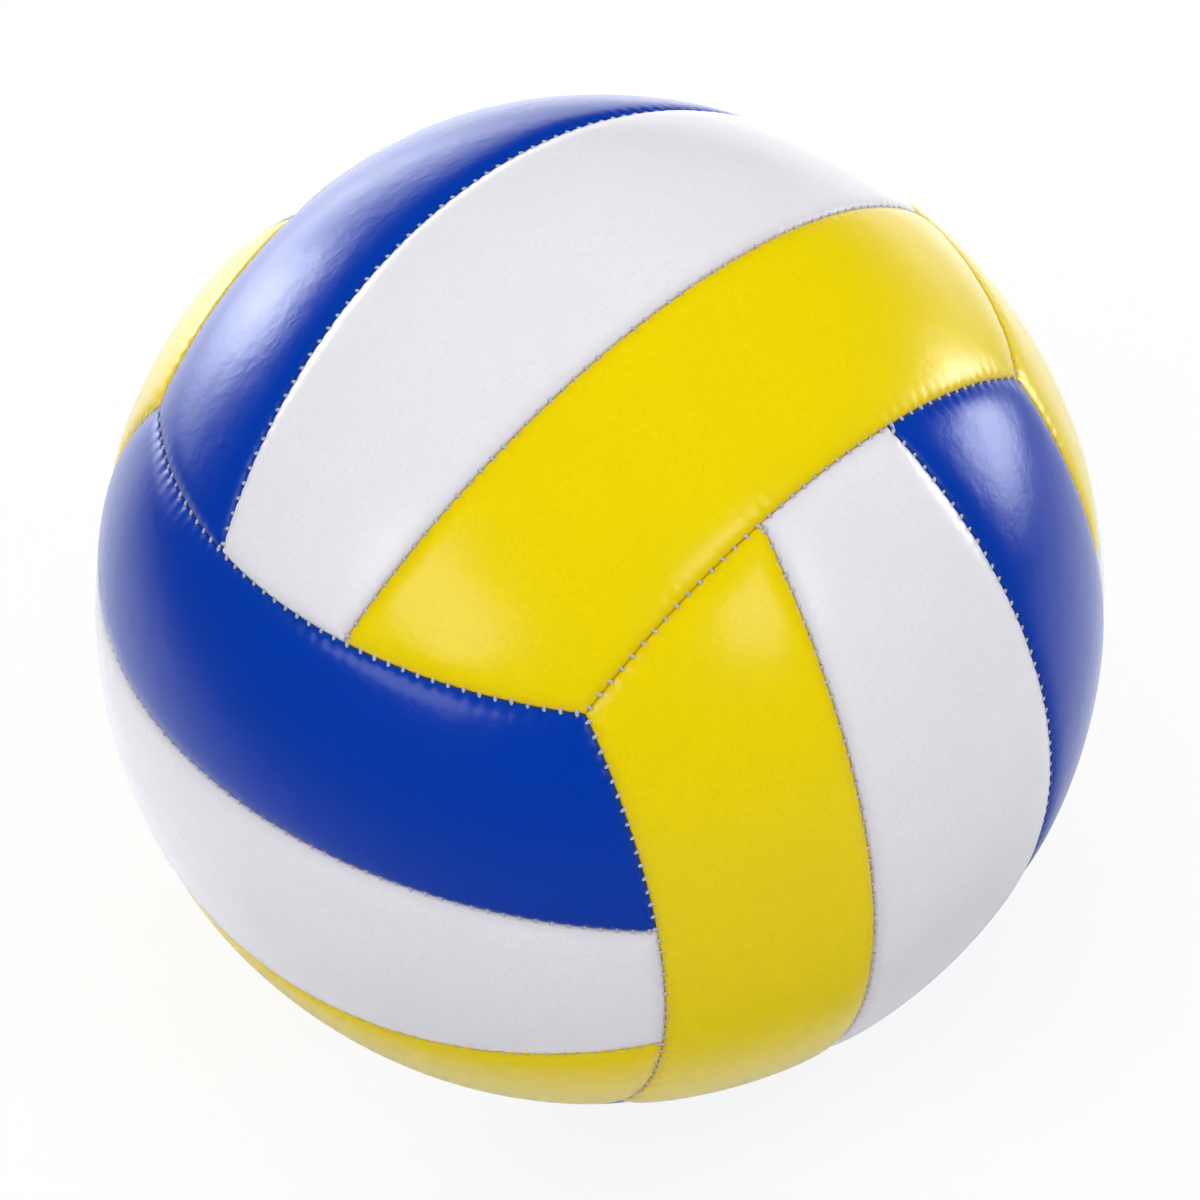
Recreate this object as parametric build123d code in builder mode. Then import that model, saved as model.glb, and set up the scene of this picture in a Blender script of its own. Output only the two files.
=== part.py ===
"""Machine-stitched volleyball: eighteen foam-backed cover panels over an inflated bladder.

The cover is six groups of three strips, laid out like the faces of a cube that has been
blown up to a ball. The strips of neighbouring groups run at right angles, so each group's
strip ends butt against the long side of the next group. Every panel is a tray of synthetic
leather with turned-in edges, sewn to its neighbours through those edges, and a foam pad is
bonded inside each tray. The valve sits in the middle panel of the back group.

Millimetres, Z up, origin at the centre of the ball.
"""

import os
from math import acos, asin, atan, atan2, cos, degrees, sin, sqrt

from build123d import *

# Ball
ball_diameter = 210.0

# Panel widths, straight across from seam to seam
group_width = 129.8
middle_width = 52.4
middle_end_width = 34.7

# Panel make-up
skin_thickness = 1.4
foam_thickness = 3.0
foam_edge_radius = 0.8
glue_line = 0.1
seam_gap = 0.2

# Sewing thread, which stops a little short of each seam's end
thread_diameter = 0.7
thread_clearance = 0.05
thread_stop = 3.0

# Bladder
bladder_wall = 1.0
bladder_clearance = 0.1

# Valve plug
valve_head_diameter = 9.0
valve_head_recess = 0.4
valve_head_edge = 0.5
valve_stem_diameter = 5.2
valve_stem_length = 22.0
needle_bore_diameter = 2.2
needle_bore_length = 14.0
needle_entry_chamfer = 0.5

# Valve seat
valve_clearance = 0.15
seat_sleeve_diameter = 11.0
seat_sleeve_length = 18.0
seat_flange_diameter = 32.0
seat_flange_thickness = 1.5

# Spare stock round a panel before its seams are cut, in degrees
trim_allowance = 12.0

# Layers from the outside in
cover_radius = ball_diameter / 2
pocket_radius = cover_radius - skin_thickness
foam_radius = pocket_radius - glue_line
lining_radius = foam_radius - foam_thickness
bladder_radius = lining_radius - bladder_clearance
air_radius = bladder_radius - bladder_wall

# Each layer's edge is rolled round the layer inside it
pocket_edge_radius = foam_edge_radius + glue_line
cover_edge_radius = pocket_edge_radius + skin_thickness

# Each layer's side wall stands this far from the middle of its seam
cover_inset = seam_gap / 2
pocket_inset = cover_inset + skin_thickness
foam_inset = pocket_inset + glue_line

# In a group's own frame X runs across the strips, Y along them and Z outward. Each seam is a
# circle on the ball, whose plane leans about Y to pass through the seam's middle and its end.


def seam_middle(width):
    """Middle of the seam on the +X side of a panel or group of the given width."""
    return Vector(width / 2, 0, sqrt(cover_radius**2 - (width / 2) ** 2))


def seam_axis(middle, end):
    """Axis of the seam circle through these two points, and the circle's height along it."""
    lean = atan2(middle.X - end.X, middle.Z - end.Z)
    axis = Vector(cos(lean), 0, -sin(lean))
    return axis, axis.dot(end) / cover_radius


# Three groups meet at each corner, as at the corner of a cube
group_middle = seam_middle(group_width)
group_end = Vector(1, 1, 1) * (cover_radius / sqrt(3))
group_axis, group_height = seam_axis(group_middle, group_end)

# A strip ends on the long seam of the next group
end_circle = sqrt(cover_radius**2 - (middle_end_width / 2) ** 2)
end_angle = acos(group_height * cover_radius / end_circle) - asin(-group_axis.Z)
strip_middle = seam_middle(middle_width)
strip_end = Vector(middle_end_width / 2, end_circle * sin(end_angle), end_circle * cos(end_angle))
strip_axis, strip_height = seam_axis(strip_middle, strip_end)

# The caps of the ball that are cut away to leave each kind of panel: the axis and height of the
# seam round the cap, and the seam's middle
end_caps = [
    (Vector(0, -way * group_axis.Z, -group_axis.X),
     -group_height,
     Vector(0, way * group_middle.Z, group_middle.X))
    for way in (1, -1)
]
strip_caps = [
    (Vector(way * strip_axis.X, 0, strip_axis.Z),
     strip_height,
     Vector(way * strip_middle.X, 0, strip_middle.Z))
    for way in (1, -1)
]
group_cap = (group_axis, group_height, group_middle)
beyond_strip_cap = (-strip_axis, -strip_height, strip_middle)
side_caps = [group_cap, beyond_strip_cap] + end_caps
middle_caps = strip_caps + end_caps


def toward_seam(axis, middle):
    """Direction square to a seam's axis, toward the seam's middle."""
    return (middle - axis * axis.dot(middle)).normalized()


def cap_cutter(axis, height, middle, inset):
    """Half of the cone from the ball's centre round a cap, on the seam's side, grown by the inset."""
    half_angle = acos(height)
    start = toward_seam(axis, middle).cross(axis)
    rim = Vector(ball_diameter * sin(half_angle) + inset * height,
                 ball_diameter * height - inset * sin(half_angle))
    rim_angle = degrees(atan2(rim.Y, rim.X))
    with BuildPart() as cutter:
        with BuildSketch(Plane(origin=(0, 0, 0), x_dir=start, z_dir=start.cross(axis))):
            with BuildLine():
                dome = CenterArc((0, 0), rim.length, rim_angle, 90 - rim_angle)
                Polyline(dome @ 1, (0, -inset / sin(half_angle)), dome @ 0)
            make_face()
        revolve(axis=Axis((0, 0, 0), axis), revolution_arc=180)
    return cutter.part


def panel_block(outer_radius, inner_radius, caps, inset, edge_radius):
    """A piece of a hollow ball between its four seams, with its outer edges rounded."""
    cutters = [cap_cutter(axis, height, middle, inset) for axis, height, middle in caps]
    widest = max(group_middle.X / group_middle.Z, group_end.X / group_end.Z)
    half_turn = degrees(atan(widest)) + trim_allowance
    reach = degrees(atan2(group_middle.Z, group_middle.X)) + trim_allowance
    stock_plane = Plane.XY.rotated((0, -90 - half_turn, 0))
    with BuildPart() as block:
        with BuildSketch(stock_plane):
            with BuildLine():
                outer_arc = CenterArc((0, 0), outer_radius, -reach, 2 * reach)
                inner_arc = CenterArc((0, 0), inner_radius, -reach, 2 * reach)
                Line(outer_arc @ 0, inner_arc @ 0)
                Line(outer_arc @ 1, inner_arc @ 1)
            make_face()
        revolve(axis=Axis.Y, revolution_arc=2 * half_turn)
        for cutter in cutters:
            add(cutter, mode=Mode.SUBTRACT)
        outer_face = block.faces().filter_by(GeomType.SPHERE).sort_by(SortBy.AREA)[-1]
        fillet(outer_face.edges(), radius=edge_radius)
    return block.part


def seam_thread(axis, height, middle, end):
    """Thread lying in a seam's groove, against both rolled edges, along most of the seam."""
    thread_radius = thread_diameter / 2
    to_roll_centre = cover_edge_radius + thread_radius + thread_clearance
    rise = sqrt(to_roll_centre**2 - (cover_edge_radius + cover_inset) ** 2)
    lie_radius = cover_radius - cover_edge_radius + rise
    circle_radius = lie_radius * sqrt(1 - height**2)
    outward = toward_seam(axis, middle)
    half_sweep = atan2(end.Y, end.dot(outward)) - thread_stop / circle_radius
    start = outward * cos(half_sweep) + Vector(0, 1, 0) * sin(half_sweep)
    with BuildPart() as thread:
        with BuildSketch(Plane(origin=(0, 0, 0), x_dir=start, z_dir=start.cross(axis))):
            with Locations((circle_radius, lie_radius * height)):
                Circle(thread_radius)
        revolve(axis=Axis((0, 0, 0), axis), revolution_arc=degrees(2 * half_sweep))
    return thread.part


def cover_tray(caps):
    """Leather skin of a panel with its edges turned in all round."""
    skin = panel_block(cover_radius, lining_radius, caps, cover_inset, cover_edge_radius)
    pocket = panel_block(pocket_radius, air_radius, caps, pocket_inset, pocket_edge_radius)
    with BuildPart() as tray:
        add(skin)
        add(pocket, mode=Mode.SUBTRACT)
    return tray.part


def foam_pad(caps):
    """Foam that fills a panel's tray, less the glue line."""
    return panel_block(foam_radius, lining_radius, caps, foam_inset, foam_edge_radius)


# Group names with the outward direction, the direction across the strips, and the colours of
# the side strips, first on the side that the second direction points to
groups = {
    "top": ((0, 0, 1), (1, 0, 0), "yellow", "blue"),
    "bottom": ((0, 0, -1), (1, 0, 0), "blue", "yellow"),
    "right": ((1, 0, 0), (0, 1, 0), "blue", "yellow"),
    "left": ((-1, 0, 0), (0, 1, 0), "blue", "yellow"),
    "back": ((0, 1, 0), (0, 0, 1), "yellow", "blue"),
    "front": ((0, -1, 0), (0, 0, 1), "blue", "yellow"),
}
middle_colour = "white"
valve_group = "back"

head_radius = valve_head_diameter / 2
stem_radius = valve_stem_diameter / 2
bore_radius = needle_bore_diameter / 2
sleeve_radius = seat_sleeve_diameter / 2
flange_rim_radius = seat_flange_diameter / 2
stem_hole_radius = stem_radius + valve_clearance
cover_hole_radius = head_radius + valve_clearance
sleeve_hole_radius = sleeve_radius + valve_clearance

os.makedirs("parts", exist_ok=True)

side_tray = cover_tray(side_caps)
side_pad = foam_pad(side_caps)
middle_tray = cover_tray(middle_caps)
middle_pad = foam_pad(middle_caps)
group_thread = seam_thread(group_axis, group_height, group_middle, group_end)
strip_thread = seam_thread(strip_axis, strip_height, strip_middle, strip_end)

# Cover panels, foam backings and sewing thread of each group
for group, (outward, across, first_colour, second_colour) in groups.items():
    first_plane = Plane(origin=(0, 0, 0), x_dir=across, z_dir=outward)
    second_plane = Plane(origin=(0, 0, 0), x_dir=-Vector(across), z_dir=outward)
    panels = (
        (first_colour, first_plane, side_tray, side_pad),
        (middle_colour, first_plane, middle_tray, middle_pad),
        (second_colour, second_plane, side_tray, side_pad),
    )
    for colour, plane, tray, pad in panels:
        holds_valve = group == valve_group and colour == middle_colour
        with BuildPart(plane) as cover:
            add(tray)
            if holds_valve:
                Hole(cover_hole_radius)
        cover.part.label = f"cover_{group}_{colour}"
        export_step(cover.part, f"parts/cover_{group}_{colour}.step")

        with BuildPart(plane) as backing:
            add(pad)
            if holds_valve:
                Hole(sleeve_hole_radius)
        backing.part.label = f"backing_{group}_{colour}"
        export_step(backing.part, f"parts/backing_{group}_{colour}.step")

    with BuildPart(first_plane, second_plane) as group_stitching:
        add(group_thread)
    group_stitching.part.label = f"group_stitching_{group}"
    export_step(group_stitching.part, f"parts/group_stitching_{group}.step")

    with BuildPart(first_plane, second_plane) as strip_stitching:
        add(strip_thread)
    strip_stitching.part.label = f"strip_stitching_{group}"
    export_step(strip_stitching.part, f"parts/strip_stitching_{group}.step")

# The bladder and the valve are turned about the valve's axis. Their sections are drawn with X
# as the distance from that axis and Y as the height above the ball's centre.
valve_outward = Vector(groups[valve_group][0])
valve_across = Vector(groups[valve_group][1])
valve_section = Plane(origin=(0, 0, 0), x_dir=valve_across, z_dir=valve_across.cross(valve_outward))
valve_axis = Axis((0, 0, 0), valve_outward)


def height_on_ball(ball_radius, distance):
    """Height of a ball's surface at a distance from the valve's axis."""
    return sqrt(ball_radius**2 - distance**2)


def turn_angle(ball_radius, distance):
    """Angle from the section's X to the point of a ball's surface at a distance from the axis."""
    return degrees(acos(distance / ball_radius))


# Bladder
with BuildPart() as bladder:
    with BuildSketch(valve_section):
        with BuildLine():
            outside = CenterArc(
                (0, 0), bladder_radius, -90, 90 + turn_angle(bladder_radius, sleeve_hole_radius)
            )
            inside = CenterArc(
                (0, 0), air_radius, -90, 90 + turn_angle(air_radius, sleeve_hole_radius)
            )
            Line(outside @ 0, inside @ 0)
            Line(outside @ 1, inside @ 1)
        make_face()
    revolve(axis=valve_axis)
bladder.part.label = "bladder"
export_step(bladder.part, "parts/bladder.step")

# Valve seat: a flange bonded inside the bladder, and a sleeve that reaches up to the cover
flange_top_radius = air_radius - glue_line
flange_under_radius = flange_top_radius - seat_flange_thickness
seat_top = height_on_ball(pocket_radius, sleeve_radius) - glue_line
seat_bottom = height_on_ball(flange_under_radius, sleeve_radius) - seat_sleeve_length
with BuildPart() as valve_seat:
    with BuildSketch(valve_section):
        with BuildLine():
            top_turn = turn_angle(flange_top_radius, flange_rim_radius)
            top_sweep = turn_angle(flange_top_radius, sleeve_radius) - top_turn
            flange_top = CenterArc((0, 0), flange_top_radius, top_turn, top_sweep)
            under_turn = turn_angle(flange_under_radius, flange_rim_radius)
            under_sweep = turn_angle(flange_under_radius, sleeve_radius) - under_turn
            flange_under = CenterArc((0, 0), flange_under_radius, under_turn, under_sweep)
            Line(flange_top @ 0, flange_under @ 0)
            Polyline(
                flange_under @ 1,
                (sleeve_radius, seat_bottom),
                (stem_hole_radius, seat_bottom),
                (stem_hole_radius, seat_top),
                (sleeve_radius, seat_top),
                flange_top @ 1,
            )
        make_face()
    revolve(axis=valve_axis)
valve_seat.part.label = "valve_seat"
export_step(valve_seat.part, "parts/valve_seat.step")

# Valve plug: a head that shows in the cover's hole, and a stem with the needle's blind bore
head_top = height_on_ball(cover_radius, head_radius) - valve_head_recess
plug_bottom = seat_top - valve_stem_length
bore_bottom = head_top - needle_bore_length
with BuildPart() as valve_plug:
    with BuildSketch(valve_section):
        with BuildLine():
            Polyline(
                (0, bore_bottom),
                (bore_radius, bore_bottom),
                (bore_radius, head_top),
                (head_radius, head_top),
                (head_radius, seat_top),
                (stem_radius, seat_top),
                (stem_radius, plug_bottom),
                (0, plug_bottom),
                close=True,
            )
        make_face()
    revolve(axis=valve_axis)
    head_edges = valve_plug.faces().sort_by(valve_axis)[-1].edges().sort_by(SortBy.RADIUS)
    fillet(head_edges[-1], radius=valve_head_edge)
    entry_edge = valve_plug.faces().sort_by(valve_axis)[-1].edges().sort_by(SortBy.RADIUS)[0]
    chamfer(entry_edge, length=needle_entry_chamfer)
valve_plug.part.label = "valve_plug"
export_step(valve_plug.part, "parts/valve_plug.step")
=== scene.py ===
"""The looks of an eighteen-panel volleyball: soft panels, stitching, inner pieces and a white studio."""

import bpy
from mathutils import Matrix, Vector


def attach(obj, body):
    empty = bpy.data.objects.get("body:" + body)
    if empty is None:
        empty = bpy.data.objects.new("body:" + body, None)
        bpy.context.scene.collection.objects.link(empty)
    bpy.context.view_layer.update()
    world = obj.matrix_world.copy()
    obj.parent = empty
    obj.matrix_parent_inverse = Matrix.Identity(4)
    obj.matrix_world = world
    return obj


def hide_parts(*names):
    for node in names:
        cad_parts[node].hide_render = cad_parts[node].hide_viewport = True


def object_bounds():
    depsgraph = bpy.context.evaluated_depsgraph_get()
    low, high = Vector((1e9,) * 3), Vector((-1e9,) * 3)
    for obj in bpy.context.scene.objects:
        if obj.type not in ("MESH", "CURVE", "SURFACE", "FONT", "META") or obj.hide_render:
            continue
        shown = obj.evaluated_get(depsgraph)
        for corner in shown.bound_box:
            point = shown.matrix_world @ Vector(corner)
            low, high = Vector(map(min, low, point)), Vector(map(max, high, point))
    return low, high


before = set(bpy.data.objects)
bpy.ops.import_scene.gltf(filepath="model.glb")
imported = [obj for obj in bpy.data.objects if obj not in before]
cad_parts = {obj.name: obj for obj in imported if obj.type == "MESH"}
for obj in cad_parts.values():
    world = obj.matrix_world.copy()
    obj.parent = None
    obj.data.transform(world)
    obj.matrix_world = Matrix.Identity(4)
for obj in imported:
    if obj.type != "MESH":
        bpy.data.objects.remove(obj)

import copy
import math
from dataclasses import dataclass

import bpy
import numpy as np
from bpy.props import FloatProperty, FloatVectorProperty, IntProperty, PointerProperty
from mathutils import Matrix, Quaternion, Vector

bl_info = {
    "name": "Panelled Volleyball",
    "version": (1, 0, 0),
    "blender": (4, 5, 0),
    "location": "View3D > Sidebar > Volleyball",
    "description": "Dresses a volleyball with stitched leather panels and sets it in a white studio",
    "category": "Object",
}

MM = 0.001
cad_box = [list(corner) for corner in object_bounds()]
ball_radius = max(cad_box[1])
floor_level = cad_box[0][2]

# Each group of three panels: outward direction, direction across its panels, and the colours of
# the side panels that lie towards and away from that direction. The middle panel is white.
GROUPS = {
    "top": ((0, 0, 1), (1, 0, 0), "yellow", "blue"),
    "bottom": ((0, 0, -1), (1, 0, 0), "blue", "yellow"),
    "right": ((1, 0, 0), (0, 1, 0), "blue", "yellow"),
    "left": ((-1, 0, 0), (0, 1, 0), "blue", "yellow"),
    "back": ((0, 1, 0), (0, 0, 1), "yellow", "blue"),
    "front": ((0, -1, 0), (0, 0, 1), "blue", "yellow"),
}
VALVE_GROUP = "back"

# Points along a panel's long edges and its ends, before the coarser inner rows skip some.
LONG_EDGE_STEPS = 372
SIDE_END_STEPS = 96
MIDDLE_END_STEPS = 72
OUTER_SKIP = 3
INNER_SKIP = 6

# Distance between a panel's outer and inner faces on its map, in half widths.
ISLAND_SHIFT = 2.2


def length(name, description, millimetres):
    """A size in metres that shows in the panel with its unit."""
    return FloatProperty(
        name=name,
        description=description,
        default=millimetres * MM,
        subtype="DISTANCE",
        unit="LENGTH",
        precision=5,
    )


def angle(name, description, degrees):
    """An angle that is kept in radians."""
    return FloatProperty(
        name=name,
        description=description,
        default=math.radians(degrees),
        subtype="ANGLE",
        unit="ROTATION",
    )


def colour(name, description, linear):
    """A linear colour without alpha."""
    return FloatVectorProperty(
        name=name,
        description=description,
        default=linear,
        size=3,
        min=0.0,
        max=1.0,
        subtype="COLOR",
    )


def share(name, description, value):
    """A plain number."""
    return FloatProperty(name=name, description=description, default=value, precision=4)


class CoverSettings(bpy.types.PropertyGroup):
    """Sizes of the cover panels, their edges, their stitching and what lies under them."""

    group_width: length("Group width", "Straight distance across a group of three panels", 129.8)
    middle_width: length("Middle width", "Widest part of the middle panel", 52.4)
    middle_end_width: length("Middle end width", "Width of the middle panel at its ends", 34.7)
    skin: length("Skin", "Thickness of the leather", 1.4)
    seam_gap: length("Seam gap", "Room between neighbouring panels at the seam", 0.02)
    flange_depth: length("Flange depth", "How far a panel's turned edge reaches in", 4.4)
    roll_width: length("Roll width", "Width of the tight edge beside a seam", 0.6)
    roll_depth: length("Roll depth", "Depth of the tight edge at the seam", 0.35)
    crown_drop: length("Crown drop", "How far the cushion falls away towards a seam", 1.05)
    crown_reach: length("Crown reach", "Distance over which the cushion falls away", 2.1)
    pucker: length("Pucker", "Depth of the dimple that each stitch pulls", 0.2)
    pucker_reach: length("Pucker reach", "How far a dimple reaches from the seam", 1.4)
    ripple: length("Ripple", "Height of the slow waves along an edge", 0.05)
    stitch_pitch: length("Stitch pitch", "Distance from one stitch to the next", 3.1)
    stitch_span: length("Stitch span", "Length of one stitch across the seam", 2.0)
    stitch_depth: length("Stitch depth", "Depth of a stitch's top below the ball", 0.77)
    stitch_sag: length("Stitch sag", "How far a stitch's ends dive into the leather", 0.3)
    thread_diameter: length("Thread", "Diameter of the thread", 0.75)
    stitch_slant: angle("Stitch slant", "Turn of a stitch away from square to the seam", 8.0)
    stitch_seed: IntProperty(name="Stitch seed", description="Seed of the small stitch errors", default=7)
    valve_hole: length("Valve hole", "Radius of the hole in the panel over the valve", 4.65)
    glue_line: length("Glue line", "Room between the leather and the foam behind it", 0.1)
    foam_depth: length("Foam depth", "Depth of the foam's inner face below the ball", 4.5)
    foam_inset: length("Foam inset", "Distance from a seam to the foam's edge", 1.6)
    foam_round: length("Foam round", "Rounding of the foam's outer edge", 0.8)
    sleeve_hole: length("Sleeve hole", "Radius of the hole round the valve's sleeve", 5.65)
    bladder_depth: length("Bladder depth", "Depth of the bladder's outer face below the ball", 4.6)
    bladder_wall: length("Bladder wall", "Thickness of the bladder", 1.0)


class FinishSettings(bpy.types.PropertyGroup):
    """Colours of the materials, with darker seam colours that paint the shade in each leather's seams."""

    yellow: colour("Yellow leather", "Colour of the yellow panels", (0.845, 0.655, 0.002))
    white: colour("White leather", "Colour of the white panels", (0.80, 0.785, 0.82))
    blue: colour("Blue leather", "Colour of the blue panels", (0.0008, 0.039, 0.385))
    # Painted shade: the seam colours are darker copies of each leather, mixed in towards each seam where the
    # groove lies in shade.
    yellow_seam: colour("Yellow seam", "Colour of the yellow panels in a seam", (0.66, 0.45, 0.003))
    white_seam: colour("White seam", "Colour of the white panels in a seam", (0.50, 0.48, 0.56))
    blue_seam: colour("Blue seam", "Colour of the blue panels in a seam", (0.004, 0.045, 0.30))
    thread: colour("Thread", "Colour of the thread", (0.52, 0.50, 0.52))
    foam: colour("Foam", "Colour of the foam behind the panels", (0.62, 0.60, 0.55))
    bladder: colour("Bladder", "Colour of the butyl bladder", (0.022, 0.021, 0.023))
    valve: colour("Valve", "Colour of the rubber valve", (0.035, 0.034, 0.036))


class StudioSettings(bpy.types.PropertyGroup):
    """The camera and the light. A soft box's brightness has that soft box's name."""

    azimuth: angle("Azimuth", "Where the camera stands round the ball", 47.71)
    elevation: angle("Elevation", "How high the camera stands", 46.71)
    roll: angle("Roll", "How far the camera leans", 3.754)
    distance: length("Distance", "From the camera to the ball's centre", 748.5)
    lens: FloatProperty(name="Lens", description="Focal length", default=107.04, subtype="DISTANCE_CAMERA")
    tent_top: share("Tent roof", "Brightness of the white tent's roof over the ball", 1.125)
    tent_front: share("Tent front", "Brightness of the white tent's walls towards the camera", 0.575)
    tent_back: share("Tent back", "Brightness of the white tent's walls behind the ball", 0.85)
    front_key: share("Front key", "Brightness of the soft box in front", 2.35)
    right_key: share("Right key", "Brightness of the soft box on the right", 2.4)
    left_rim: share("Left rim", "Brightness of the soft box on the left", 6.6)
    back_rim: share("Back rim", "Brightness of the soft box behind", 7.6)
    backdrop: share("Backdrop", "Brightness of the backdrop's left side in the ball's gloss", 3.5)
    far_backdrop: share("Far backdrop", "Brightness of its right side in the ball's gloss", 0.45)
    floor_shadow: share("Floor shadow", "Share of the floor's look that takes shade", 0.15)
    floor_contact: share("Floor contact", "More of that share close under the ball", 0.6)
    floor_gleam: share("Floor gleam", "Brightness of the floor in the ball's own gloss", 1.2)
    floor_shade: share("Floor shade", "Brightness of the shaded floor under the ball in its gloss", 0.55)
    floor_behind: share("Floor behind", "More brightness of the floor behind the ball in its gloss", 1.1)
    floor_left: share("Floor left", "More brightness of the far floor on the left in its gloss", 1.3)
    dark_side: angle("Dark side", "Where round the ball the floor is darkest in its gloss", 60.0)
    bright_side: angle("Bright side", "Where round the ball the floor is brightest in its gloss", -130.0)
    left_side: angle("Left side", "Middle of the bright far floor on the left", -102.0)
    gloss_tint: colour("Gloss tint", "Colour of the light that the ball mirrors", (0.92, 0.95, 1.0))


def unit(vectors):
    """Vectors scaled to length 1."""
    vectors = np.asarray(vectors, float)
    return vectors / np.linalg.norm(vectors, axis=-1, keepdims=True)


def place_object(name, data):
    """A new object in the scene."""
    piece = bpy.data.objects.new(name, data)
    bpy.context.scene.collection.objects.link(piece)
    return piece


def mesh_object(name, points, edges, faces):
    """A new object of plain points, edges and faces."""
    mesh = bpy.data.meshes.new(name)
    mesh.from_pydata(points, edges, faces)
    return place_object(name, mesh)


def ring_faces(rings, steps):
    """Faces between closed rings of points that follow one another."""
    faces = []
    for ring in range(rings - 1):
        for step in range(steps):
            a, b = ring * steps + step, ring * steps + (step + 1) % steps
            faces.append((a, a + steps, b + steps, b))
    return faces


class Seam:
    """A seam is a circle on the ball; the panel lies outside the cap that the circle cuts off."""

    def __init__(self, axis, height, middle, end):
        self.axis = unit(axis)
        self.angle = math.acos(height)
        middle = unit(middle)
        self.start = unit(middle - self.axis * (self.axis @ middle))
        self.side = np.cross(self.axis, self.start)
        self.half_turn = abs(self.turn(unit(end)))
        self.radius = ball_radius * math.sin(self.angle)
        self.length = 2 * self.half_turn * self.radius

    def turn(self, directions):
        """Angle of each direction about the axis, from the seam's middle."""
        return np.arctan2(directions @ self.side, directions @ self.start)

    def distance(self, directions):
        """Distance from the seam along the ball, into the panel."""
        return ball_radius * (np.arccos(np.clip(directions @ self.axis, -1, 1)) - self.angle)

    def directions(self, inset, turns):
        """Directions at a distance from the seam, at the given angles about its axis."""
        away = self.angle + inset / ball_radius
        across = np.outer(np.cos(turns), self.start) + np.outer(np.sin(turns), self.side)
        return self.axis * math.cos(away) + across * math.sin(away)

    def reversed(self):
        """The same circle, seen from the panel on its other side."""
        other = copy.copy(self)
        other.axis = -self.axis
        other.angle = math.pi - self.angle
        other.side = -self.side
        return other

    def stitches(self, pitch):
        """Number of stitches along the seam."""
        return round(self.length / pitch)


def mirrored(vector):
    """A vector with its across part turned round."""
    return np.array((-vector[0], vector[1], vector[2]))


def seam_middle(width):
    """Middle of a seam that lies half a width to the side of its group's middle."""
    half = width / 2
    return np.array((half, 0, math.sqrt(ball_radius**2 - half**2)))


def seam_circle(middle, end):
    """Lean, axis and height of the circle through a seam's middle and its two ends."""
    lean = math.atan2(middle[0] - end[0], middle[2] - end[2])
    axis = np.array((math.cos(lean), 0, -math.sin(lean)))
    return lean, axis, axis @ middle / ball_radius


def group_seams(cover):
    """Seams of one group, across X and along Y with Z outwards, named by where they lie."""
    middle = seam_middle(cover.group_width)
    corner = ball_radius * np.ones(3) / math.sqrt(3)
    lean, axis, height = seam_circle(middle, corner)
    end_half = cover.middle_end_width / 2
    end_circle = math.sqrt(ball_radius**2 - end_half**2)
    end_angle = math.acos(height * ball_radius / end_circle) - lean
    strip_end = np.array((end_half, end_circle * math.sin(end_angle), end_circle * math.cos(end_angle)))
    strip_middle = seam_middle(cover.middle_width)
    strip_axis, strip_height = seam_circle(strip_middle, strip_end)[1:]
    seams = {
        "group+": Seam(axis, height, middle, corner),
        "group-": Seam(mirrored(axis), height, mirrored(middle), mirrored(corner)),
        "strip+": Seam(strip_axis, strip_height, strip_middle, strip_end),
        "strip-": Seam(mirrored(strip_axis), strip_height, mirrored(strip_middle), mirrored(strip_end)),
    }
    for sign, way in (("+", 1), ("-", -1)):
        end_axis = (0, -way * axis[2], -axis[0])
        end_middle = (0, way * middle[2], middle[0])
        seams["end" + sign] = Seam(end_axis, -height, end_middle, corner * (1, way, 1))
    return seams


def panel_seams(cover, place):
    """A panel's four seams in order: towards +X, +Y, -X and -Y. Place is +, 0 or -, across the group."""
    seams = group_seams(cover)
    sides = {
        "+": (seams["group+"], seams["strip+"].reversed()),
        "0": (seams["strip+"], seams["strip-"]),
        "-": (seams["strip-"].reversed(), seams["group-"]),
    }
    right, left = sides[place]
    return [right, seams["end+"], left, seams["end-"]]


def corner_direction(one, other, inset):
    """Where the lines at a distance from two neighbouring seams cross, on the outward side."""
    near = math.cos(one.angle + inset / ball_radius)
    far = math.cos(other.angle + inset / ball_radius)
    between = one.axis @ other.axis
    base = ((near - between * far) * one.axis + (far - between * near) * other.axis) / (1 - between**2)
    normal = np.cross(one.axis, other.axis)
    rise = math.sqrt((1 - base @ base) / (normal @ normal))
    return max((base + rise * normal, base - rise * normal), key=lambda point: point[2])


@dataclass
class Loop:
    """A closed row of points that follows a panel's outline, with its place on the panel's map."""

    index: np.ndarray
    chart: np.ndarray

    def shrunk(self, size):
        """The row's place on the map, drawn in towards its middle to a share of its size."""
        centre = self.chart.mean(0)
        return centre + (self.chart - centre) * size


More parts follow.
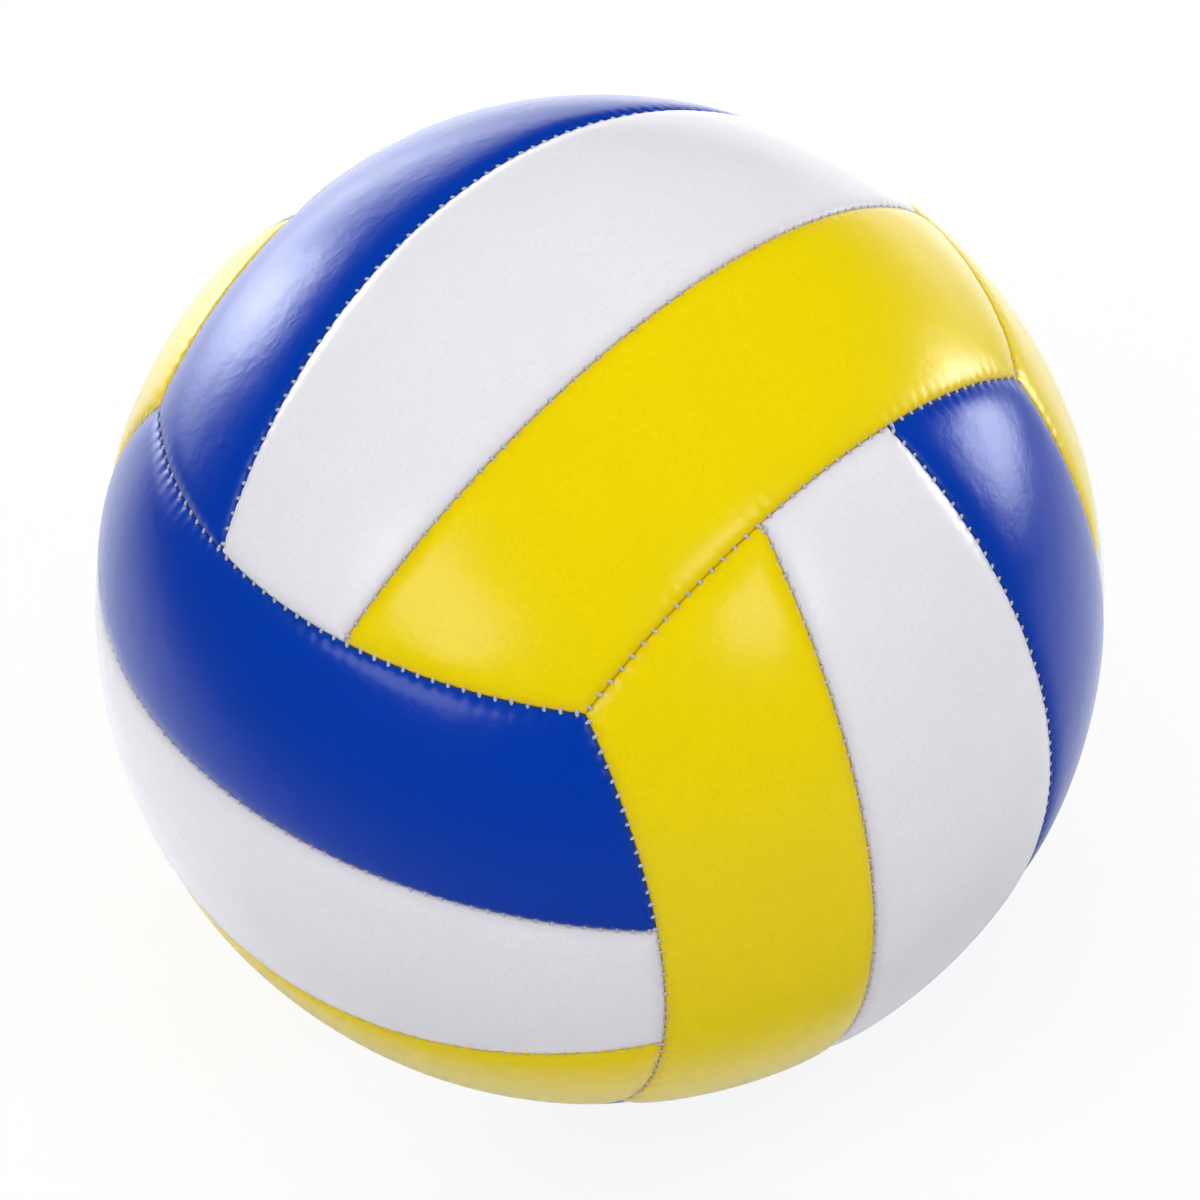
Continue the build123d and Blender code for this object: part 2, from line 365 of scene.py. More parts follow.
class PanelMesh:
    """Builds one panel from rows of points that follow its four seams."""

    def __init__(self, seams, end_steps):
        self.seams = seams
        self.steps = (LONG_EDGE_STEPS, end_steps)
        self.half_sizes = np.array((seams[1].length / 2, seams[0].length / 2))
        self.island = np.array((ISLAND_SHIFT * self.half_sizes[0], 0.0))
        self.points = []
        self.count = 0
        self.faces = []

    def edges(self, inset, skip):
        """The four edges at a distance from the seams, each with both of its corners."""
        corners = [corner_direction(self.seams[k - 1], self.seams[k], inset) for k in range(4)]
        edges = []
        for k, seam in enumerate(self.seams):
            turns = seam.turn(np.array((corners[k], corners[(k + 1) % 4])))
            steps = self.steps[k % 2] // skip
            edges.append(seam.directions(inset, np.linspace(turns[0], turns[1], steps + 1)))
        return edges

    def add_points(self, directions, depth):
        """Adds points that lie a depth below the ball and returns their numbers."""
        flat = directions.reshape(-1, 3)
        self.points.append(flat * (ball_radius - np.broadcast_to(depth, len(flat)))[:, None])
        first = self.count
        self.count += len(flat)
        return np.arange(first, self.count).reshape(directions.shape[:-1])

    def chart_loop(self, outset, skip, shift):
        """Map places of a loop: a rectangle that grows with its distance from the inner rows."""
        corners = np.array(((1, -1), (1, 1), (-1, 1), (-1, -1), (1, -1))) * (self.half_sizes + outset)
        rows = []
        for k in range(4):
            steps = self.steps[k % 2] // skip
            along = np.arange(steps)[:, None] / steps
            rows.append(corners[k] * (1 - along) + corners[k + 1] * along)
        return np.concatenate(rows) + shift

    def loop(self, inset, depth, skip, outset, shift=0.0):
        """A closed row at a distance from the seams; depth is a number or a rule for directions."""
        directions = np.concatenate([edge[:-1] for edge in self.edges(inset, skip)])
        depth = depth(directions) if callable(depth) else depth
        return Loop(self.add_points(directions, depth), self.chart_loop(outset, skip, shift))

    def grid(self, inset, skip):
        """Directions of the rows that fill the panel inside an inset, across then along."""
        right, top, left, bottom = self.edges(inset, skip)
        top = top[::-1]
        left = left[::-1]
        across = np.linspace(0, 1, len(top))[:, None, None]
        along = np.linspace(0, 1, len(right))[None, :, None]
        blend = (1 - along) * bottom[:, None] + along * top[:, None]
        blend = blend + (1 - across) * left[None] + across * right[None]
        low = (1 - across) * bottom[0] + across * bottom[-1]
        high = (1 - across) * top[0] + across * top[-1]
        return unit(blend - (1 - along) * low - along * high)

    def fill(self, directions, depth, outset, shift=0.0, flip=False, hole=None):
        """Adds a grid and its faces, less a block of cells for a hole; returns its border and the hole's."""
        depth = depth(directions.reshape(-1, 3)) if callable(depth) else depth
        index = self.add_points(directions, depth)
        rows, columns = index.shape
        half = self.half_sizes + outset
        across = np.linspace(-half[0], half[0], rows)
        along = np.linspace(-half[1], half[1], columns)
        chart = np.stack(np.meshgrid(across, along, indexing="ij"), axis=-1) + shift
        keep = np.ones((rows - 1, columns - 1), bool)
        mouth = None
        if hole is not None:
            i, j = (rows - 1) // 2, (columns - 1) // 2
            keep[i - hole[0] : i + hole[0], j - hole[1] : j + hole[1]] = False
            block = np.s_[i - hole[0] : i + hole[0] + 1, j - hole[1] : j + hole[1] + 1]
            mouth = Loop(outline(index[block]), outline(chart[block]))
        self.add_faces(*[self.cells(field, keep) for field in (index, chart)], flip)
        return Loop(outline(index), outline(chart)), mouth

    def hole_row(self, mouth, radius, depth, map_size):
        """A round row inside a hole's border: its radius, its depth and its size on the map."""
        border = np.concatenate(self.points)[mouth.index]
        across = border[:, :2] / np.linalg.norm(border[:, :2], axis=1, keepdims=True) * radius
        rise = np.sqrt(ball_radius**2 - radius**2) * np.ones(len(across))
        directions = np.column_stack((across, rise)) / ball_radius
        return Loop(self.add_points(directions, depth), mouth.shrunk(map_size))

    @staticmethod
    def cells(field, keep):
        """The four corners of each kept cell of a grid."""
        corners = (field[:-1, :-1], field[1:, :-1], field[1:, 1:], field[:-1, 1:])
        return np.stack([corner[keep] for corner in corners], axis=1)

    def add_faces(self, index, chart, flip):
        """Adds faces with one number of corners."""
        if flip:
            index, chart = index[:, ::-1], chart[:, ::-1]
        self.faces.append((index, chart))

    def band(self, outer, inner, flip=False):
        """Adds the faces between two closed rows, one of which may have several points to a step."""
        steps = min(len(outer.index), len(inner.index))
        fields = []
        for name in ("index", "chart"):
            sides = []
            for row in (getattr(outer, name), getattr(inner, name)):
                several = len(row) // steps
                first = np.arange(steps)[:, None] * several
                sides.append(row[(first + np.arange(several + 1)) % len(row)])
            fields.append(np.concatenate((sides[0], sides[1][:, ::-1]), axis=1))
        self.add_faces(*fields, flip)

    def object(self, name, turn):
        """The finished object: points turned into place, faces and a map for baking."""
        points = np.concatenate(self.points) @ turn.T
        used = np.unique(np.concatenate([index.ravel() for index, _ in self.faces]))
        number = np.full(len(points), -1)
        number[used] = np.arange(len(used))
        corners = np.concatenate([number[index.ravel()] for index, _ in self.faces])
        sizes = np.concatenate([np.full(len(index), index.shape[1]) for index, _ in self.faces])
        chart = np.concatenate([chart.reshape(-1, 2) for _, chart in self.faces])
        chart = (chart - chart.min(0)) / (chart.max(0) - chart.min(0))
        mesh = bpy.data.meshes.new(name)
        mesh.vertices.add(len(used))
        mesh.vertices.foreach_set("co", points[used].astype(np.float32).ravel())
        mesh.loops.add(len(corners))
        mesh.loops.foreach_set("vertex_index", corners.astype(np.int32))
        mesh.polygons.add(len(sizes))
        mesh.polygons.foreach_set("loop_start", (np.cumsum(sizes) - sizes).astype(np.int32))
        mesh.uv_layers.new(name="OFBake").data.foreach_set("uv", chart.astype(np.float32).ravel())
        mesh.update(calc_edges=True)
        mesh.validate()
        mesh.shade_smooth()
        inset = np.min([seam.distance(unit(points[used] @ turn)) for seam in self.seams], axis=0)
        insets = mesh.attributes.new("seam_distance", "FLOAT", "POINT")
        insets.data.foreach_set("value", inset.astype(np.float32))
        return place_object(name, mesh)


def outline(field):
    """The border of a grid as a closed row: up the right side, then round by the top."""
    return np.concatenate((field[-1, :-1], field[:0:-1, -1], field[0, :0:-1], field[:-1, 0]))


# How uneven the stitches pull, and how that changes from one stitch to the next.
PULL_UNEVEN = 0.3
PULL_CHANGE = 1.7
# The slow waves along an edge: two lengths, their shift from panel to panel, and how many times
# further than a dimple they reach.
SHORT_WAVE = 2.3 * MM
LONG_WAVE = 6.1 * MM
WAVE_SHIFT = 2.1
WAVE_REACH = 2.5
# The outer face stays above this share of the turned edge's depth.
DEEPEST_SHARE = 0.95


class CoverSurface:
    """How deep the outer face of one cover panel lies below the ball."""

    def __init__(self, cover, seams, variety):
        self.cover = cover
        self.seams = seams
        self.variety = variety

    def edge_roll(self, inset):
        """Share of the rolled edge's depth at a distance from the seam: a quarter ellipse."""
        across = np.clip((inset - self.cover.seam_gap / 2) / self.cover.roll_width, 0, 1)
        return 1 - np.sqrt(1 - (1 - across) ** 2)

    def stitch_pull(self, seam, inset, directions):
        """Dimples that the stitches pull into the edge, uneven from one stitch to the next."""
        cover = self.cover
        pitch = seam.length / seam.stitches(cover.stitch_pitch)
        along = seam.turn(directions) * seam.radius
        phase = (along + seam.length / 2) / pitch - 0.5
        uneven = 1 + PULL_UNEVEN * np.sin(PULL_CHANGE * np.round(phase) + self.variety)
        dimple = 0.5 + 0.5 * np.cos(2 * np.pi * phase)
        waves = np.sin(along / SHORT_WAVE + WAVE_SHIFT * self.variety)
        waves = waves * np.sin(along / LONG_WAVE + self.variety)
        near = np.exp(-inset / cover.pucker_reach)
        far = np.exp(-inset / (WAVE_REACH * cover.pucker_reach))
        return cover.pucker * uneven * dimple * near + cover.ripple * waves * far

    def crown(self, directions):
        """Depth of the cushioned panel below the ball, without its edge and stitches."""
        level = np.ones(len(directions))
        for seam in self.seams:
            inset = np.maximum(seam.distance(directions), 0)
            level *= 1 - np.exp(-inset / self.cover.crown_reach)
        return self.cover.crown_drop * (1 - level)

    def depth(self, directions):
        """Depth of the outer face below the ball."""
        cover = self.cover
        level = np.ones(len(directions))
        pull = np.zeros(len(directions))
        for seam in self.seams:
            inset = np.maximum(seam.distance(directions), 0)
            level *= 1 - self.edge_roll(inset)
            pull += self.stitch_pull(seam, inset, directions)
        depth = self.crown(directions) + cover.roll_depth * (1 - level) + pull
        return np.clip(depth, 0, DEEPEST_SHARE * cover.flange_depth)

    def under(self, thickness):
        """A rule for depths that lie a thickness below the cushioned panel."""
        return lambda directions: self.crown(directions) + thickness


def group_turn(group):
    """Matrix whose columns are a group's across, along and outward directions."""
    outward, across = (np.array(vector, float) for vector in GROUPS[group][:2])
    return np.stack((across, np.cross(outward, across), outward), axis=1)


def group_panels(group):
    """Place across the group and colour of its three panels."""
    return (("+", GROUPS[group][2]), ("0", "white"), ("-", GROUPS[group][3]))


def end_steps(place):
    """Points along a panel's ends."""
    return MIDDLE_END_STEPS if place == "0" else SIDE_END_STEPS


# Rows of the cover from a seam inwards, and the pocket behind it.
ROLL_ROWS = 5
EDGE_ROWS = [row * MM for row in (0.95, 1.3, 1.7, 2.2, 2.8, 3.5, 4.4, 5.5, 7.0)]
INNER_EDGE = 9.0 * MM
POCKET_INSET = 1.5 * MM
POCKET_ROUND = 0.9 * MM

# The valve hole: the cells it takes, the size in holes at which its circles have faded into the
# grid, its rounding, and that rounding's rows.
VALVE_CELLS = (2, 4)
VALVE_BLEND = 3.0
VALVE_RIM = 0.5 * MM
RIM_ROWS = (0.7, 0.3, 0.0)

# Sizes on the map: the rim's innermost row, what each share of the rim adds to it, the lining's
# hole and the foam's hole as shares of the hole's border, and the foam's edge in roundings.
RIM_MAP = 0.6
RIM_MAP_STEP = 0.3
LINING_HOLE_MAP = 0.4
FOAM_HOLE_MAP = 0.5
FOAM_EDGE_MAP = 4


def round_hole(directions, cells, radius):
    """Moves a grid's rows round a hole at its middle into circles that fade into the grid."""
    rows, columns = directions.shape[:2]
    i, j = np.meshgrid(np.arange(rows) - rows // 2, np.arange(columns) - columns // 2, indexing="ij")
    across, along = i / cells[0], j / cells[1]
    level = np.maximum(np.abs(across), np.abs(along))
    way = np.arctan2(along, across)
    circle = radius * level[..., None] * np.stack((np.cos(way), np.sin(way)), axis=-1)
    fade = np.clip((level - 1) / (VALVE_BLEND - 1), 0, 1)
    fade = (fade * fade * (3 - 2 * fade))[..., None]
    plane = (1 - fade) * circle + fade * directions[..., :2] * ball_radius
    rise = np.sqrt(ball_radius**2 - (plane**2).sum(-1))
    return np.concatenate((plane, rise[..., None]), axis=-1) / ball_radius


def coarse(cells):
    """The cells of a hole on the coarser inner rows."""
    return tuple(count * OUTER_SKIP // INNER_SKIP for count in cells)


def has_valve(group, place):
    """Whether the valve comes out through this panel."""
    return group == VALVE_GROUP and place == "0"


def valve_rim(panel, cover, mouth, inner_mouth):
    """The rounded wall of the valve hole, from the outer face to the lining."""
    previous = mouth
    for step in RIM_ROWS:
        drop = VALVE_RIM * (1 - math.sqrt(1 - (1 - step) ** 2))
        map_size = RIM_MAP + RIM_MAP_STEP * step
        row = panel.hole_row(mouth, cover.valve_hole + VALVE_RIM * step, drop, map_size)
        panel.band(previous, row)
        previous = row
    chart = mouth.shrunk(LINING_HOLE_MAP)[:: INNER_SKIP // OUTER_SKIP]
    panel.band(previous, Loop(inner_mouth.index, chart))


def cover_panel(cover, group, place, hue, variety):
    """One leather panel: rolled, stitched edges turned in at the seams, and the pocket behind."""
    seams = panel_seams(cover, place)
    panel = PanelMesh(seams, end_steps(place))
    surface = CoverSurface(cover, seams, variety)
    gap = cover.seam_gap / 2
    angles = np.linspace(0, math.pi / 2, ROLL_ROWS)
    insets = [gap + cover.roll_width * (1 - math.cos(a)) for a in angles] + EDGE_ROWS
    rim = panel.loop(gap, cover.flange_depth, 1, 0.0)
    previous = rim
    for inset in insets:
        row = panel.loop(inset, surface.depth, 1, -inset)
        panel.band(previous, row)
        previous = row
    outer = panel.grid(INNER_EDGE, OUTER_SKIP)
    lining = panel.grid(POCKET_INSET + POCKET_ROUND, INNER_SKIP)
    cells = inner_cells = None
    if has_valve(group, place):
        cells = VALVE_CELLS
        inner_cells = coarse(cells)
        outer = round_hole(outer, cells, cover.valve_hole + VALVE_RIM)
        lining = round_hole(lining, inner_cells, cover.valve_hole)
    border, mouth = panel.fill(outer, surface.depth, -INNER_EDGE, hole=cells)
    panel.band(previous, border)
    island = panel.island
    inside = surface.under(cover.skin)
    pocket, inner_mouth = panel.fill(lining, inside, -POCKET_INSET, island, flip=True, hole=inner_cells)
    low = panel.loop(POCKET_INSET, cover.flange_depth, INNER_SKIP, cover.skin, island)
    high = panel.loop(POCKET_INSET, surface.under(cover.skin + POCKET_ROUND), INNER_SKIP, 0.0, island)
    under_rim = Loop(rim.index, panel.chart_loop(2 * cover.skin, 1, island))
    panel.band(under_rim, low, flip=True)
    panel.band(low, high, flip=True)
    panel.band(high, pocket, flip=True)
    if mouth:
        valve_rim(panel, cover, mouth, inner_mouth)
    return panel.object(f"{group}_{hue}_panel", group_turn(group))


def foam_pad(cover, group, place, hue):
    """One foam pad: crowned like the leather over it, round at the edge and even over the bladder."""
    seams = panel_seams(cover, place)
    pad = PanelMesh(seams, end_steps(place))
    surface = CoverSurface(cover, seams, 0.0)
    top_depth = cover.skin + cover.glue_line
    top = pad.grid(cover.foam_inset + cover.foam_round, INNER_SKIP)
    base = pad.grid(cover.foam_inset, INNER_SKIP)
    cells = None
    if has_valve(group, place):
        cells = coarse(VALVE_CELLS)
        top = round_hole(top, cells, cover.sleeve_hole)
        base = round_hole(base, cells, cover.sleeve_hole)
    border, mouth = pad.fill(top, surface.under(top_depth), 0.0, hole=cells)
    below, base_mouth = pad.fill(base, cover.foam_depth, 0.0, pad.island, flip=True, hole=cells)
    previous = border
    for turn in (math.pi / 4, math.pi / 2):
        inset = cover.foam_inset + cover.foam_round * (1 - math.sin(turn))
        drop = top_depth + cover.foam_round * (1 - math.cos(turn))
        row = pad.loop(inset, surface.under(drop), INNER_SKIP, turn * cover.foam_round)
        pad.band(row, previous)
        previous = row
    edge = Loop(below.index, pad.chart_loop(FOAM_EDGE_MAP * cover.foam_round, INNER_SKIP, 0.0))
    pad.band(edge, previous)
    if mouth:
        pad.band(mouth, Loop(base_mouth.index, mouth.shrunk(FOAM_HOLE_MAP)))
    return pad.object(f"{group}_{hue}_foam", group_turn(group))


BLADDER_ROWS = 48
BLADDER_STEPS = 96


def bladder_shell(cover):
    """The round bladder: a turned shell about the valve's axis, open where the valve's sleeve goes in."""
    outer_depth = cover.bladder_depth
    inner_depth = outer_depth + cover.bladder_wall
    profile = []
    for depth in (outer_depth, inner_depth):
        radius = ball_radius - depth
        hole = math.asin(cover.sleeve_hole / radius)
        arc = np.linspace(math.pi, hole, BLADDER_ROWS)
        row = np.column_stack((radius * np.sin(arc), radius * np.cos(arc)))
        profile.append(row[1:])
    rings = np.concatenate((profile[0], profile[1][::-1]))
    turns = np.linspace(0, 2 * math.pi, BLADDER_STEPS, endpoint=False)
    points = [(r * math.cos(t), y, r * math.sin(t)) for r, y in rings for t in turns]
    faces = ring_faces(len(rings), BLADDER_STEPS)
    last = (len(rings) - 1) * BLADDER_STEPS
    for depth, first, flip in ((outer_depth, 0, False), (inner_depth, last, True)):
        pole = len(points)
        points.append((0, depth - ball_radius, 0))
        for step in range(BLADDER_STEPS):
            face = (pole, first + step, first + (step + 1) % BLADDER_STEPS)
            faces.append(face[::-1] if flip else face)
    shell = mesh_object("bladder_shell", points, [], faces)
    shell.data.shade_smooth()
    return shell


def add_node(tree, kind, settings, inputs):
    """Adds a node to a tree, sets its settings, then its sockets' values or links."""
    node = tree.nodes.new(kind)
    for name, value in (settings or {}).items():
        setattr(node, name, value)
    for key, value in (inputs or {}).items():
        if isinstance(value, bpy.types.NodeSocket):
            tree.links.new(value, node.inputs[key])
        else:
            node.inputs[key].default_value = value
    return node


class Link:
    """A shader socket; arithmetic on it adds Math nodes, and node() adds any other node."""

    def __init__(self, tree, socket=None):
        self.tree = tree
        self.socket = socket

    def node(self, kind, settings=None, inputs=None, output=0):
        """Adds a node with its settings and its sockets' values or links, and returns one output."""
        sockets = {}
        for key, value in (inputs or {}).items():
            sockets[key] = value.socket if isinstance(value, Link) else value
        node = add_node(self.tree, "ShaderNode" + kind, settings, sockets)
        return Link(self.tree, node.outputs[output])

    def end(self, kind):
        """Ends the tree in this shader, as that of a Material, a World or a Light."""
        add_node(self.tree, "ShaderNodeOutput" + kind, None, {"Surface": self.socket})

    def math(self, operation, *values):
        """A Math node of these values."""
        return self.node("Math", {"operation": operation}, dict(enumerate(values)))

    def vector_math(self, operation, *values, output="Vector"):
        """A Vector Math node of these values."""
        return self.node("VectorMath", {"operation": operation}, dict(enumerate(values)), output)

    def __add__(self, other):
        return self.math("ADD", self, other)

    __radd__ = __add__

    def __sub__(self, other):
        return self.math("SUBTRACT", self, other)

    def __rsub__(self, other):
        return self.math("SUBTRACT", other, self)

    def __mul__(self, other):
        return self.math("MULTIPLY", self, other)

    __rmul__ = __mul__

    def __truediv__(self, other):
        return self.math("DIVIDE", self, other)

    def __rtruediv__(self, other):
        return self.math("DIVIDE", other, self)

    def exp(self):
        """e to this power."""
        return self.math("EXPONENT", self)

    def smooth(self, low, high):
        """0 below low, 1 above high, smooth between."""
        settings = {"interpolation_type": "SMOOTHSTEP"}
        return self.node("MapRange", settings, {"Value": self, "From Min": low, "From Max": high})

    def noise(self, coordinates, scale, detail=2.0, roughness=0.5, distortion=0.0):
        """Noise from 0 to 1 in cells of the given size."""
        inputs = {"Vector": coordinates, "Scale": 1 / scale, "Detail": detail}
        inputs.update({"Roughness": roughness, "Distortion": distortion})
        return self.node("TexNoise", None, inputs)

    def mix(self, factor, one, other):
        """A colour between two colours."""
        return self.node("Mix", {"data_type": "RGBA"}, {0: factor, 6: one, 7: other}, 2)

    def bump(self, strength, distance):
        """A surface normal that follows this height."""
        return self.node("Bump", None, {"Strength": strength, "Distance": distance, "Height": self})


def opaque(linear):
    """A colour with full alpha."""
    return (*linear, 1.0)


def shaded(linear, factor):
    """A colour made darker or lighter."""
    return opaque([min(1.0, part * factor) for part in linear])


def empty_tree(owner):
    """The cleared node tree of a material, a world or a lamp, as a Link to build it by."""
    owner.use_nodes = True
    owner.node_tree.nodes.clear()
    return Link(owner.node_tree)


def new_material(name):
    """An empty node material, a Link to build it by, and the place on the piece."""
    material = bpy.data.materials.new(name)
    link = empty_tree(material)
    return material, link, link.node("TexCoord", output="Object")


def finish_material(link, tone, roughness, bump):
    """Puts a Principled shader on the material's output."""
    inputs = {"Base Color": tone, "Roughness": roughness, "Normal": bump}
    link.node("BsdfPrincipled", None, inputs).end("Material")


# Sizes of the leather's patterns, the reach of the painted shade into a seam, and the depth of the relief.
PEBBLE = 1.4 * MM
CREASE = 2.6 * MM
DENT = 6.5 * MM
MOTTLE = 14 * MM
GROOVE = 0.9 * MM
LEATHER_RELIEF = 0.05 * MM

# The same for the thread, the foam and the rubber.
STRAND = 0.25 * MM
THREAD_RELIEF = 0.08 * MM
PORE = 0.8 * MM
FOAM_CLOUD = 9 * MM
FOAM_RELIEF = 0.2 * MM
BLOOM = 6 * MM
RUBBER_SKIN = 0.5 * MM
RUBBER_RELIEF = 0.05 * MM

# Roughness of each finish, to which its patterns add a little.
LEATHER_ROUGHNESS = 0.225
THREAD_ROUGHNESS = 0.55
FOAM_ROUGHNESS = 0.85
BLADDER_ROUGHNESS = 0.5
VALVE_ROUGHNESS = 0.42


def leather(name, tint, seam_shade):
    """Soft synthetic leather: fine pebbled grain, faint mottling and painted shade in the seams."""
    material, link, place = new_material(name)
    inset = link.node("Attribute", {"attribute_name": "seam_distance"}, output="Fac")
    cells = {"Vector": place, "Scale": 1 / PEBBLE, "Randomness": 0.9}
    pebble = link.node("TexVoronoi", {"feature": "DISTANCE_TO_EDGE"}, cells).smooth(0.0, 0.4)
    creases = link.noise(place, CREASE, detail=1.5, distortion=0.6)
    dents = link.noise(place, DENT, detail=1.0)
    broad = link.noise(place, MOTTLE)
    bump = (0.2 * pebble + 2.0 * creases + 3.0 * dents).bump(0.45, LEATHER_RELIEF)
    grain = (pebble * 0.5 + creases * 0.5).smooth(0.2, 0.75)
    # Painted shade: how near each point lies to a seam, which darkens the colour there and makes it rougher.
    groove = (inset * (-1 / GROOVE)).exp()
    tone = link.mix(grain, shaded(tint, 1.015), shaded(tint, 0.973))
    tone = link.mix(broad.smooth(0.3, 0.75) * 0.5, tone, shaded(tint, 0.97))
    # Painted shade: the leather turns to its darker seam colour towards each seam.
    tone = link.mix(groove * 0.8, tone, opaque(seam_shade))
    roughness = LEATHER_ROUGHNESS + 0.01 * grain + 0.04 * (creases - 0.5) + 0.04 * (broad - 0.5)
    finish_material(link, tone, roughness + 0.15 * groove, bump)
    return material


def thread_finish(name, tint):
    """Twisted polyester thread."""
    material, link, place = new_material(name)
    strands = link.noise(place, STRAND, detail=3.0, roughness=0.6)
    tone = link.mix(strands.smooth(0.3, 0.7), shaded(tint, 0.8), shaded(tint, 1.05))
    finish_material(link, tone, THREAD_ROUGHNESS + 0.25 * strands, strands.bump(0.5, THREAD_RELIEF))
    return material


def foam_finish(name, tint):
    """Closed-cell foam with small open pores on its skin."""
    material, link, place = new_material(name)
    pores = link.node("TexVoronoi", None, {"Vector": place, "Scale": 1 / PORE})
    cloud = link.noise(place, FOAM_CLOUD, detail=3.0)
    # Painted shade: the pores are darker than the foam round them, as their hollows lie in shade.
    tone = link.mix(pores.smooth(0.1, 0.5), shaded(tint, 0.7), shaded(tint, 1.05))
    tone = link.mix(cloud.smooth(0.35, 0.7) * 0.4, tone, shaded(tint, 0.85))
    finish_material(link, tone, FOAM_ROUGHNESS + 0.1 * cloud, pores.bump(0.6, FOAM_RELIEF))
    return material


def rubber_finish(name, tint, roughness):
    """Moulded rubber with a fine matt skin and a little bloom."""
    material, link, place = new_material(name)
    bloom = link.noise(place, BLOOM, detail=4.0, roughness=0.6)
    skin = link.noise(place, RUBBER_SKIN)
    tone = link.mix(bloom.smooth(0.4, 0.75) * 0.6, shaded(tint, 0.9), shaded(tint, 1.9))
    finish_material(link, tone, roughness + 0.2 * bloom, skin.bump(0.4, RUBBER_RELIEF))
    return material


class VOLLEYBALL_OT_cover(bpy.types.Operator):
    """Make the eighteen cover panels."""

    bl_idname = "volleyball.cover"
    bl_label = "Cover panels"

    def execute(self, context):
        cover = context.scene.volleyball_cover
        finish = context.scene.volleyball_finish
        leathers = {}
        for hue in ("yellow", "white", "blue"):
            # Each leather's own colour, and the darker colour that paints the shade in its seams.
            tint, seam_shade = getattr(finish, hue), getattr(finish, f"{hue}_seam")
            leathers[hue] = leather(f"{hue}_leather", tuple(tint), tuple(seam_shade))
        variety = 0.0
        for group in GROUPS:
            for place, hue in group_panels(group):
                variety += 1.0
                piece = cover_panel(cover, group, place, hue, variety)
                piece.data.materials.append(leathers[hue])
                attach(piece, "root")
                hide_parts(f"cover_{group}_{hue}")
        return {"FINISHED"}


STITCH_SIDES = 8
STITCH_RINGS = 5
# A stitch's twist over half its length, its taper towards the ends, and the depth of its two plies.
STITCH_TWIST = 1.2
STITCH_TAPER = 0.22
PLY_DEPTH = 0.1
# How far a stitch may lean out of line, in radians, and the smallest and largest stitch.
LEAN_ERROR = 0.12
STITCH_SIZES = (0.9, 1.08)
# Straight steps in the line that a seam's stitches follow.
LINE_STEPS = 96


def stitch_shape(cover):
    """One stitch: an arched, twisted two-ply bar across X, with its ends sunk and closed."""
    ring = np.linspace(0, 2 * math.pi, STITCH_SIDES, endpoint=False)
    points = []
    for row in range(STITCH_RINGS):
        along = 2 * row / (STITCH_RINGS - 1) - 1
        twist = STITCH_TWIST * along
        radius = cover.thread_diameter / 2 * (1 - STITCH_TAPER * along**2)
        lobes = radius * (1 + PLY_DEPTH * np.cos(2 * (ring - twist)))
        for a, r in zip(ring, lobes):
            x = along * cover.stitch_span / 2
            points.append((x, r * math.cos(a), r * math.sin(a) - cover.stitch_sag * along**2))
    faces = ring_faces(STITCH_RINGS, STITCH_SIDES)
    last = (STITCH_RINGS - 1) * STITCH_SIDES
    faces.append(tuple(range(STITCH_SIDES)))
    faces.append(tuple(last + k for k in reversed(range(STITCH_SIDES))))
    stitch = mesh_object("stitch", points, [], [face[::-1] for face in faces])
    stitch.data.shade_smooth()
    return stitch


class TreeBuilder:
    """Adds Geometry Nodes by type and keeps the named inputs of the tree."""

    def __init__(self, name, inputs):
        self.tree = bpy.data.node_groups.new(name, "GeometryNodeTree")
        self.sockets = {}
        for label, kind in inputs.items():
            socket = self.tree.interface.new_socket(label, in_out="INPUT", socket_type="NodeSocket" + kind)
            self.sockets[label] = socket.identifier
        self.tree.interface.new_socket("Geometry", in_out="OUTPUT", socket_type="NodeSocketGeometry")
        self.entry = self.tree.nodes.new("NodeGroupInput")

    def value(self, label):
        """The named input as a socket."""
        return self.entry.outputs[label]

    def node(self, kind, settings=None, inputs=None, output=0):
        """Adds a node, its settings and its inputs, and returns one of its outputs."""
        node = add_node(self.tree, kind, settings, inputs)
        return node.outputs[output] if len(node.outputs) else None

    def random(self, low, high):
        """A random number in this range for each stitch."""
        inputs = {2: low, 3: high, "Seed": self.value("Seed")}
        return self.node("FunctionNodeRandomValue", {"data_type": "FLOAT"}, inputs, 1)


